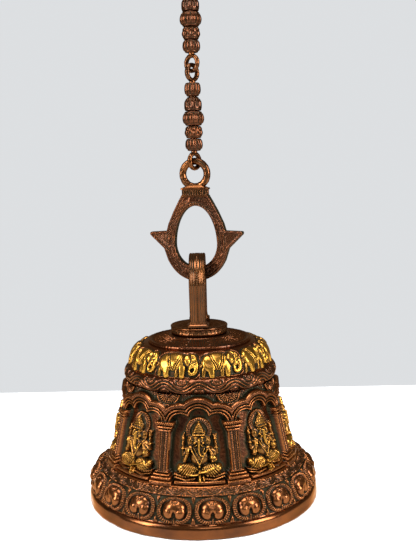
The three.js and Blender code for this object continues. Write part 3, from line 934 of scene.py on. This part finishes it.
PLATE_SECTORS = 12
SCALLOPS = 18
COLLAR_RADIUS = 28.4


def crown_plate():
    """A low cone of engraved sectors inside a rolled rim."""
    outline = [
        (5.8, 157.3), (50.5, 157.2), (51.3, 157.9), (51.5, 159.4), (50.9, 160.8), (49.2, 161.2),
        (47.6, 160.6), (46.6, 160.8), (38, 162.6), (31, 164.4), (28, 165.3), (6.3, 165.4), (5.8, 164.9),
    ]

    def relief(angle, along, radius, z):
        top = (z > 160.4) & (radius > 27)
        edge = np.abs(off_whole(angle * PLATE_SECTORS / TAU)) * TAU / PLATE_SECTORS * radius
        field = top * (radius < 46.4) * (radius > 30.6)
        height = -1.2 * (line(edge - 1.1, 0.45) + line(edge - 2.6, 0.45)) * field
        height = height - 1.0 * ramp(-0.1, 0.7, np.cos((edge - 2.6) * TAU / 1.7)) * field * (edge > 3.5)
        height = height - 0.8 * line(radius - 46.9, 0.45) * (z > 160)
        height = height - 0.6 * line(radius - 30.2, 0.45) * top
        return height + 0.08 * grain(angle * 40, radius, 3, 51)

    return turned("crown_plate_cast", fillet(outline, 0.5), 420, 0.5, relief)


def crown_collar():
    """A short drum with engraved scallops on its side and a stippled top."""
    outline = [
        (5.8, 166.0), (27.6, 166.0), (28.5, 166.9), (28.7, 168.2), (28.2, 169.2), (28.2, 171.8),
        (28.6, 172.6), (28.3, 173.6), (27.2, 174.0), (24.6, 173.4), (8, 173.6), (5.8, 173.4),
    ]

    def relief(angle, along, radius, z):
        side = (radius > 27.4) * (z > 168.4) * (z < 172.4)
        u = off_whole(angle * SCALLOPS / TAU) * TAU / SCALLOPS * COLLAR_RADIUS
        scallop = np.hypot(u / 1.1, z - 168.6)
        height = -0.45 * (line(scallop - 2.9, 0.4) + line(scallop - 1.5, 0.4)) * side
        return height + 0.2 * grain(angle * 25, radius, 1.6, 52) * (z > 173.0) * (radius < 26.5)

    return turned("crown_collar_cast", fillet(outline, 0.35), 300, 0.45, relief)


LOOP_SPRING = 216.0
LOOP_RADIUS = 24.25
LOOP_FOOT = 174.7
LOOP_FLARE = 181.5
FOOT_OUT = 20.6


def crown_loop():
    """A strap bent into a tall arch, milled at its edges, with a row of dots down the middle."""
    centres, outs, thick = [], [], []
    for z in np.arange(LOOP_FOOT + 3.4, LOOP_SPRING, 0.5):
        t = min(max((z - LOOP_FLARE) / (LOOP_SPRING - LOOP_FLARE), 0.0), 1.0)
        centres.append((0, -(21.75 + 2.5 * t), z))
        outs.append((0, -1, 0))
        thick.append(8.5 + t)
    for turn in np.arange(0, math.pi / 2, 0.5 / 27):
        outs.append((0, -math.cos(turn), math.sin(turn)))
        centres.append((0, -LOOP_RADIUS * math.cos(turn), LOOP_SPRING + LOOP_RADIUS * math.sin(turn)))
        thick.append(9.5)
    centres = np.array(centres + [(x, -y, z) for x, y, z in centres[::-1]])
    outs = np.array(outs + [(x, -y, z) for x, y, z in outs[::-1]])
    thick = np.array(thick + thick[::-1])
    across = np.tile([1.0, 0.0, 0.0], (len(centres), 1))
    right = [(7.2, -4.5), (7.9, -3.8), (7.9, 3.6), (7.2, 4.6)]
    section, _, _ = spaced(right + [(-x, y) for x, y in right[::-1]], 0.35, closed=True)

    def relief(step, x, y):
        arc_length = step * 0.5
        face = y > 4.2
        height = -0.55 * (line(np.abs(x) - 5.2, 0.38) + line(np.abs(x) - 3.0, 0.38)) * face
        dots = np.hypot(x, repeated(arc_length, 2.2))
        height = height - 0.45 * ramp(0.9, 0.5, dots) * face
        height = height - 0.45 * ripple(arc_length * TAU / 1.5) * ramp(6.2, 6.8, np.abs(x)) * (y > 2.4)
        inner_line = line(y - 0.6, 0.35) * (np.abs(x) > 7.4)
        return height - 0.3 * inner_line + (thick[step] / 2 - 4.6) * np.abs(y) / 4.6 * (np.abs(y) > 3)

    return swept("crown_loop_cast", centres, across, outs, section, relief)


def squared(half_x, half_y, steps, power):
    """A rectangle with rounded corners, as x and y; a higher power makes them sharper."""
    around = np.arange(steps) * TAU / steps
    corner = (np.abs(np.cos(around)) ** power + np.abs(np.sin(around)) ** power) ** (-1 / power)
    return half_x * np.cos(around) * corner, half_y * np.sin(around) * corner


def loop_foot(name, side):
    """The stepped slab that a leg of the loop stands on."""
    rows = []
    levels = ((0.0, 9.8, 6.2), (0.6, 10.4, 6.8), (2.4, 10.4, 6.8), (3.0, 9.9, 6.2), (3.3, 8.8, 5.6),
              (5.2, 8.2, 5.0), (6.9, 8.1, 4.7))
    for up, half_x, half_y in levels:
        x, y = squared(half_x, half_y, 64, 8)
        rows.append(np.stack([x, y + side * FOOT_OUT, 0 * x + LOOP_FOOT + up], 1))
    index = np.arange(len(levels) * 64).reshape(len(levels), 64)
    faces = [quads(index, False, True), index[:1, ::-1], index[-1:]]
    return mesh_object(name, np.concatenate(rows), faces, [False, False, False])


def hexagon_nut():
    """A chamfered hexagonal nut."""
    around = np.arange(96) * TAU / 96
    levels = ((5.4, 0.4), (5.9, 0.1), (8.6, 0.1), (9.6, 0.9), (9.6, 7.1), (8.6, 7.9), (5.9, 7.9), (5.4, 7.6))
    rows = []
    for radius, up in levels:
        flat = 8.4 / np.cos((around + TAU / 12) % (TAU / 6) - TAU / 12)
        r = np.minimum(radius, flat) if radius > 6 else np.full(96, radius)
        rows.append(np.stack([r * np.sin(around), -r * np.cos(around), 0 * r + 137.4 + up], 1))
    index = np.arange(len(levels) * 96).reshape(len(levels), 96)
    return mesh_object("crown_nut_cast", np.concatenate(rows), [quads(index, True, True)], [False])


def threaded(name, radius, low, high, pitch):
    """A rod with a turned thread and chamfered ends."""
    chamfer = 0.8
    outline = [(0.2, low), (radius - chamfer, low), (radius, low + chamfer), (radius, high - chamfer),
               (radius - chamfer, high), (0.2, high)]

    def relief(angle, along, r, z):
        body = (r > radius - 0.3) & (z > low + chamfer) & (z < high - chamfer)
        return -0.35 * ripple(TAU * z / pitch - angle) * body

    return turned(name, outline, 64, 0.22, relief)


def washer():
    outline = fillet([(5.6, 145.8), (13.6, 145.8), (13.9, 146.7), (13.6, 147.6), (5.6, 147.6)], 0.3)
    return turned("crown_washer_cast", outline, 96, 0.4, lambda a, s, r, z: 0.08 * grain(a * 12, r, 3, 53))


put(crown_plate(), "bell", aged, ["crown_plate"])
put(crown_collar(), "bell", worn, ["crown_collar"])
put(crown_loop(), "bell", worn, ["crown_loop"])
put(loop_foot("crown_loop_foot_1", -1), "bell", worn, ["crown_loop"])
put(loop_foot("crown_loop_foot_2", 1), "bell", worn, ["crown_loop"])
put(hexagon_nut(), "bell", iron, ["crown_nut"])
put(washer(), "bell", iron, ["crown_washer"])
put(threaded("crown_stud_turned", 4.9, 128.2, 179.3, 1.6), "bell", iron, ["crown_stud"])


# ---------------------------------------------------------------- the hanger

BOW = 224.3
HANGER_YAW = math.radians(-15)
HANGER_MIDDLE = np.array([0.0, 32.0])
HANGER_HALF = 4.5
HANGER_RING = BOW + 98.1


def curve(points, controls, steps=18):
    """A quadratic or cubic Bezier curve after the last of `points`, which it is added to."""
    points = list(points)
    start = np.array(points[-1], float)
    controls = [start] + [np.array(c, float) for c in controls]
    for t in np.linspace(0, 1, steps + 1)[1:]:
        ring = controls
        while len(ring) > 1:
            ring = [a + (b - a) * t for a, b in zip(ring[:-1], ring[1:])]
        points.append(tuple(ring[0]))
    return points


def hanger_outlines():
    """Half outlines of the hanger's outside and its opening, from the bottom up: (x, height over the bow)."""
    outside = curve([(0, -7)], [(19.5, -6), (29.4, 14)])
    outside += [(33.2, 25.5), (47.2, 39.0), (47.6, 40.6), (46.6, 42.0), (30, 42.8), (27.9, 50), (22.3, 62),
                (16, 73.5), (9, 84.6)]
    opening = curve([(0, 7)], [(13, 7), (21.5, 18), (21.5, 30)])
    opening = curve(opening, [(21.5, 46), (14, 67.3), (0, 67.3)])
    return outside, opening


def mirrored(half):
    """A closed counterclockwise outline from its right half, which runs from the bottom up."""
    half = np.array(half, float)
    left = half[::-1] * np.array([-1, 1])
    return np.vstack([half, left[left[:, 0] < -1e-6]])


def distance_to(points, outline):
    """Distance from each point to a closed outline."""
    best = np.full(len(points), 1e9)
    for a, b in zip(outline, np.roll(outline, -1, 0)):
        along = b - a
        t = np.clip(((points - a) @ along) / (along @ along + 1e-12), 0, 1)
        best = np.minimum(best, np.hypot(*(points - a - t[:, None] * along).T))
    return best


def hanger_plate():
    """The flat pear-shaped plate with its two wings, engraved on both faces."""
    outside, opening = (mirrored(h) for h in hanger_outlines())
    edge, _, _ = spaced(outside, 0.55, closed=True)
    hole, _, _ = spaced(opening, 0.3, closed=True)
    hole_angle = np.arctan2(*(hole - HANGER_MIDDLE)[:, ::-1].T)
    order = np.argsort(hole_angle)
    hole_r = np.hypot(*(hole - HANGER_MIDDLE).T)[order]
    edge_angle = np.arctan2(*(edge - HANGER_MIDDLE)[:, ::-1].T)
    r_in = np.interp(edge_angle, hole_angle[order], hole_r, period=TAU)
    inner = HANGER_MIDDLE + r_in[:, None] * np.stack([np.cos(edge_angle), np.sin(edge_angle)], 1)
    share = np.concatenate([[0.0, 0.02], np.linspace(0.04, 0.96, 50), [0.98, 1.0]])
    points = inner[:, None] + (edge - inner)[:, None] * share[None, :, None]
    flat = points.reshape(-1, 2)
    from_edge = distance_to(flat, outside).reshape(points.shape[:2])
    from_hole = distance_to(flat, opening).reshape(points.shape[:2])
    x, z = points[..., 0], points[..., 1]

    # a raised rope-like border outside, a hatched one inside, and a scroll between them
    near = np.minimum(from_edge, from_hole)
    height = np.interp(near, (0, 0.35, 1.0), (-1.4, -0.5, 0.0))
    height = height - 0.7 * line(from_edge - 2.7, 0.42) - 0.7 * line(from_hole - 3.5, 0.42)
    run = np.arctan2(z - HANGER_MIDDLE[1], x)
    around = run * 30
    hatch = line(repeated(around, 1.1), 0.26)
    height = height - 0.55 * hatch * (from_hole < 3.0) * (from_hole > 0.9)
    twist = line(repeated(around + from_edge * 0.8 - 0.7, 1.4), 0.3)
    height = height - 0.3 * twist * (from_edge < 2.2) * (from_edge > 0.5)
    body = (from_edge > 3.2) & (from_hole > 4.1)
    band = from_edge - from_hole
    scroll = np.abs(band + 0.4 - 2.4 * np.sin(run * 22))
    height = height - 0.65 * line(scroll, 0.55) * body
    height = height - 0.4 * line(scroll - 2.0, 0.4) * body
    wing = (np.abs(x) > 27.5) & (z > 24) & (z < 44)
    deep = ramp(2.6, 3.6, from_edge) * wing * (np.abs(x) > 28.5)
    height = height - 0.9 * deep + 0.4 * deep * ripple((np.abs(x) + z) * TAU / 1.7)
    height = height + 0.08 * grain(x, z, 2.5, 61)

    front = np.stack([x, 0 * x - HANGER_HALF - height, z], -1)
    back = np.stack([x, 0 * x + HANGER_HALF + height, z], -1)[:, ::-1]
    ring = np.concatenate([front, back], 1)
    index = np.arange(ring.shape[0] * ring.shape[1]).reshape(ring.shape[:2])
    wear = wear_of(height, 0.4)
    marks = {"wear": np.concatenate([wear, wear[:, ::-1]], 1)}
    return mesh_object("hanger_plate", ring.reshape(-1, 3), [quads(index, True, True)], [True], marks)


def hanger_collar():
    """The ribbed block between the plate and its ring."""
    levels = ((75.6, 12.4, 5.3), (75.9, 13.5, 5.9), (77.2, 13.7, 6.0), (77.6, 12.9, 5.4), (82.9, 12.9, 5.4),
              (83.3, 13.8, 6.0), (84.6, 13.6, 5.9), (85.0, 12.4, 5.0), (86.9, 8.0, 3.4), (88.6, 5.0, 2.6))
    n, steps = 320, 6
    rows, wear = [], []
    for low, high in zip(levels[:-1], levels[1:]):
        for t in np.arange(steps) / steps:
            z, hx, hy = (a + (b - a) * t for a, b in zip(low, high))
            x, y = squared(hx, hy, n, 12)
            ribs = ripple(np.where(np.abs(y) > hy * 0.9, x, y) * TAU / 1.75)
            ribbed = 77.5 < z < 83.0
            cut = 0.9 * (1 - ribs) * ribbed
            rows.append(np.stack([x * (1 - cut / 16), y * (1 - cut / 5.5), 0 * x + z], 1))
            wear.append(0.35 - cut * 1.4 if ribbed else 0 * x + 0.2)
    index = np.arange(len(rows) * n).reshape(len(rows), n)
    faces = [quads(index, False, True), index[:1, ::-1], index[-1:]]
    marks = {"wear": np.array(wear)}
    return mesh_object("hanger_collar", np.concatenate(rows), faces, [True, False, False], marks)


def ring(name, radius, bar_out, bar_across, relief, around, steps):
    """A ring lying flat; bar_out and bar_across are the half thicknesses of its bar."""
    section = ring_section(bar_out, bar_across, steps) + np.array([radius, 0])
    return turned(name, section, around, TAU * bar_out / steps, relief)


def hanger_ring():
    def relief(angle, along, radius, z):
        engraved = -0.5 * line(radius - 13.3, 0.4) * (np.abs(z) > 1.4)
        return engraved + 0.1 * grain(angle * 12, along, 3, 62) + 0.25

    return ring("hanger_ring", 12.3, 3.2, 3.0, relief, 200, 44)


put(hanger_plate(), "hanger", aged, ["hanger"], height=BOW, yaw=HANGER_YAW)
put(hanger_collar(), "hanger", worn, ["hanger"], height=BOW, yaw=HANGER_YAW)
put(hanger_ring(), "hanger", worn, ["hanger"], HANGER_RING, HANGER_YAW, UPRIGHT)


# ---------------------------------------------------------------- the chain

EYE_RADIUS = 7.0
EYE_BAR = 2.2
EYE_BAR_WIDE = 2.4
LINK_LENGTH = 98.0
LINK_YAW = math.radians(50)
LOWER_LINK = 327.95
UPPER_LINK = 420.65
HANGING_RING = 531.6

# Beads from the bottom: foot, middle and top radius, low and high edge, and the pattern.
BEADS = (
    (6.6, 8.6, 7.6, 16.6, 28.4, "flutes_up"),
    (7.4, 8.9, 7.8, 28.7, 40.4, "crossed"),
    (8.0, 10.7, 8.6, 40.7, 54.4, "melon"),
    (8.2, 8.6, 5.8, 54.7, 68.2, "dome"),
    (6.2, 8.0, 7.2, 68.5, 81.4, "flutes_down"),
)


def bead(name, foot, middle, top, low, high, pattern):
    tall = high - low
    outline = [
        (3.3, low + 0.05), (foot - 1.0, low + 0.05), (foot, low + 1.0),
        (foot + (middle - foot) * 0.65, low + tall * 0.2), (middle, low + tall * 0.42),
        (middle * 0.985, low + tall * 0.62), (top + (middle - top) * 0.45, low + tall * 0.82),
        (top, high - 1.0), (top - 1.2, high - 0.05), (3.3, high - 0.05),
    ]
    outline = rounded(outline, closed=True, rounds=2, cut=0.2)

    def relief(angle, along, radius, z):
        t = (z - low) / tall
        on_side = ramp(0.06, 0.2, t) * ramp(0.97, 0.86, t) * (radius > foot * 0.8)
        if pattern == "melon":
            lobes = np.abs(np.sin(angle * 6))
            height = -(1 - lobes) ** 2 - 0.3 * line(lobes - 0.9, 0.12)
        elif pattern == "crossed":
            height = -0.45 * (ripple(angle * 14 + t * 7) + ripple(angle * 14 - t * 7))
        elif pattern == "dome":
            height = -0.6 * ripple(angle * 16) * ramp(0.15, 0.4, t)
        else:
            slant = 2.2 if pattern == "flutes_up" else -2.2
            height = -0.75 * ripple(angle * 12 + t * slant) ** 1.4
        lines = -0.45 * line(t - 0.12, 0.03) - 0.4 * line(t - 0.9, 0.03)
        return height * on_side + lines * (radius > foot * 0.7)

    return turned(name, outline, 216, 0.32, relief)


def rod(name, radius, low, high):
    outline = fillet([(0.2, low), (radius, low), (radius, high), (0.2, high)], 0.4)
    return turned(name, outline, 48, 0.5)


def eye(name):
    """The round eye at a link's end; its bar is a little worn where the next one bears on it."""
    def relief(angle, along, radius, z):
        return 0.12 * grain(angle * 7, along, 3, 71) - 0.25 * line(radius - 4.9, 0.5)

    return ring(name, EYE_RADIUS, EYE_BAR, EYE_BAR_WIDE, relief, 96, 28)


def link(name, height, yaw):
    core = name + "_core"
    put(eye(name + "_low_eye"), name, worn, [core], height + EYE_RADIUS, yaw, UPRIGHT)
    top = height + LINK_LENGTH - EYE_RADIUS
    put(eye(name + "_high_eye"), name, worn, [core], top, yaw, UPRIGHT)
    shaft = rod(name + "_shaft", 2.95, 2 * EYE_RADIUS + 0.4, LINK_LENGTH - 2 * EYE_RADIUS - 0.4)
    put(shaft, name, worn, [core], height)
    for i, shape in enumerate(BEADS):
        made = bead(f"{name}_fluted_bead_{i + 1}", *shape)
        put(made, name, aged, [f"{name}_bead_{i + 1}"], height, 0.3 * i)


link("lower_link", LOWER_LINK, LINK_YAW)
link("upper_link", UPPER_LINK, LINK_YAW - math.pi / 2)


def hanging_ring():
    def relief(angle, along, radius, z):
        return 0.15 * grain(angle * 19, along, 4, 72) - 0.2 * line(radius - 16.4, 0.6)

    return ring("hanging_ring_forged", 19.0, 2.85, 2.85, relief, 200, 30)


put(hanging_ring(), "ring", worn, ["hanging_ring"], HANGING_RING, LINK_YAW, UPRIGHT)


# ---------------------------------------------------------------- the clapper

STAPLE_BAR = 111.0
STAPLE_RADIUS = 7.0
STAPLE_HALF = 2.5
CLAPPER_EYE = 6.4
CLAPPER_EYE_HALF = 2.3
EYE_SEAT = 0.8
BALL_MIDDLE = 34
BALL_END = 1.40


def small_eye(name, radius, half, seed):
    """An eye of round bar."""
    def relief(angle, along, r, z):
        return 0.12 * grain(angle * int(radius), along, 3, seed)

    return ring(name, radius, half, half, relief, 96, 22)


def staple_socket():
    outline = fillet([(0.2, 120.6), (4.4, 120.6), (7.6, 124.0), (9.3, 128.0), (9.3, 136.4), (8.6, 137.0),
                      (0.2, 137.0)], 0.5)

    def relief(angle, along, radius, z):
        return -0.35 * line(z - 134.8, 0.4) - 0.35 * line(z - 129.4, 0.4)

    return turned("staple_socket", outline, 96, 0.5, relief)


def clapper_ball():
    """A hammered ball with a seam round its middle and a groove above and below it."""
    turn = np.linspace(-BALL_END, BALL_END, 60)
    pole = 23.6 * math.sin(BALL_END)
    outline = [(4.3, BALL_MIDDLE - pole)]
    outline += [(23.85 * math.cos(t), BALL_MIDDLE + 23.0 * math.sin(t)) for t in turn]
    outline += [(4.3, BALL_MIDDLE + pole)]

    def relief(angle, along, radius, z):
        up = z - BALL_MIDDLE
        seam = -0.35 * line(up, 0.5)
        hammered = 0.22 * grain(angle * 22, along, 9, 82)
        grooves = -0.4 * (line(up - 12.0, 0.45) + line(up + 12.0, 0.45))
        return seam + hammered - 0.15 + grooves

    return turned("clapper_ball_cast", outline, 180, 0.8, relief)


def clapper_tip():
    outline = [(0.2, 4.7), (4.2, 4.7), (6.4, 6.2), (6.9, 8.0), (6.2, 9.8), (4.6, 10.8), (0.2, 10.8)]
    return turned("clapper_tip_turned", fillet(outline, 0.5), 72, 0.4)


staple_eye = small_eye("staple_eye", STAPLE_RADIUS, 2.45, 81)
put(staple_eye, "bell", iron, ["clapper_staple"], STAPLE_BAR + STAPLE_RADIUS, 0.0, UPRIGHT)
put(staple_socket(), "bell", iron, ["clapper_staple"])
eye_height = STAPLE_BAR + STAPLE_HALF + CLAPPER_EYE_HALF + EYE_SEAT - CLAPPER_EYE
clapper_eye = small_eye("clapper_eye", CLAPPER_EYE, 2.25, 83)
put(clapper_eye, "clapper", iron, ["clapper_rod"], eye_height, math.pi / 2, UPRIGHT)
clapper_shaft = rod("clapper_shaft", 3.9, 7.2, eye_height - CLAPPER_EYE + 0.6)
put(clapper_shaft, "clapper", iron, ["clapper_rod"])
put(clapper_ball(), "clapper", clapper_metal, ["clapper_ball"])
put(clapper_tip(), "clapper", clapper_metal, ["clapper_tip"])


# ---------------------------------------------------------------- floor, light and camera

def plain_material(name, colour, rough):
    material = bpy.data.materials.new(name)
    material.use_nodes = True
    shader = material.node_tree.nodes["Principled BSDF"]
    shader.inputs["Base Color"].default_value = (*colour, 1)
    shader.inputs["Roughness"].default_value = rough
    return material


TABLE_BACK = 380.0
TABLE_SIDE = 3000.0


def floor():
    """A pale table top that ends a little behind the bell."""
    near, far = -TABLE_SIDE, TABLE_BACK
    points = [(-TABLE_SIDE, near, 0), (TABLE_SIDE, near, 0), (TABLE_SIDE, far, 0), (-TABLE_SIDE, far, 0)]
    obj = mesh_object("floor", points, [np.array([[0, 1, 2, 3]])], [False])
    obj.data.transform(Matrix.Translation((0, 0, RIM_Z - 0.4 * MM)))
    obj.data.materials.append(plain_material("pale_floor", (0.84, 0.85, 0.86), 0.55))


def area_light(name, place, aim, size, power):
    """A soft rectangular light; place and aim are mm, with heights above the rim plane."""
    data = bpy.data.lights.new(name, "AREA")
    data.shape = "RECTANGLE"
    data.size, data.size_y = size[0] * MM, size[1] * MM
    data.energy = power
    obj = bpy.data.objects.new(name, data)
    start, end = (Vector(v) * MM + Vector((0, 0, RIM_Z)) for v in (place, aim))
    obj.location = start
    obj.rotation_euler = (end - start).to_track_quat("-Z", "Y").to_euler()
    bpy.context.scene.collection.objects.link(obj)


SHOWN = 0.84
LIGHTING = 0.22


def studio():
    """Soft boxes left, right and above, in a room that lights the metal less than it shows behind it."""
    world = bpy.data.worlds.new("studio")
    world.use_nodes = True
    nodes, links = world.node_tree.nodes, world.node_tree.links
    ray = nodes.new("ShaderNodeLightPath")
    strength = nodes.new("ShaderNodeMath")
    strength.operation = "MULTIPLY_ADD"
    strength.inputs[1].default_value = SHOWN - LIGHTING
    strength.inputs[2].default_value = LIGHTING
    links.new(ray.outputs["Is Camera Ray"], strength.inputs[0])
    links.new(strength.outputs[0], nodes["Background"].inputs["Strength"])
    nodes["Background"].inputs["Color"].default_value = (0.86, 0.88, 0.9, 1)
    bpy.context.scene.world = world
    area_light("key_left", (-850, -560, 600), (0, 0, 120), (330, 620), 25)
    area_light("key_right", (850, -520, 560), (0, 0, 120), (330, 620), 25)
    area_light("overhead", (-60, -200, 1300), (0, 0, 100), (600, 500), 24)
    area_light("front", (150, -1500, 1100), (0, 0, 150), (600, 350), 8)


def camera():
    data = bpy.data.cameras.new("camera")
    data.sensor_width = 36.0
    data.lens = 51.89
    data.clip_start, data.clip_end = 0.02, 30.0
    yaw, pitch, roll = math.radians(-1.46), math.radians(7.73), math.radians(1.5)
    forward = Vector((math.sin(yaw) * math.cos(pitch), math.cos(yaw) * math.cos(pitch), -math.sin(pitch)))
    right = forward.cross(Vector((0, 0, 1))).normalized()
    up = right.cross(forward)
    rolled_right = right * math.cos(roll) - up * math.sin(roll)
    rolled_up = right * math.sin(roll) + up * math.cos(roll)
    obj = bpy.data.objects.new("camera", data)
    turn = Matrix((rolled_right, rolled_up, -forward)).transposed().to_4x4()
    obj.matrix_world = Matrix.Translation((30.2 * MM, -786.4 * MM, RIM_Z + 327 * MM)) @ turn
    bpy.context.scene.collection.objects.link(obj)
    bpy.context.scene.camera = obj


floor()
studio()
camera()
bpy.context.scene.view_settings.view_transform = "Standard"
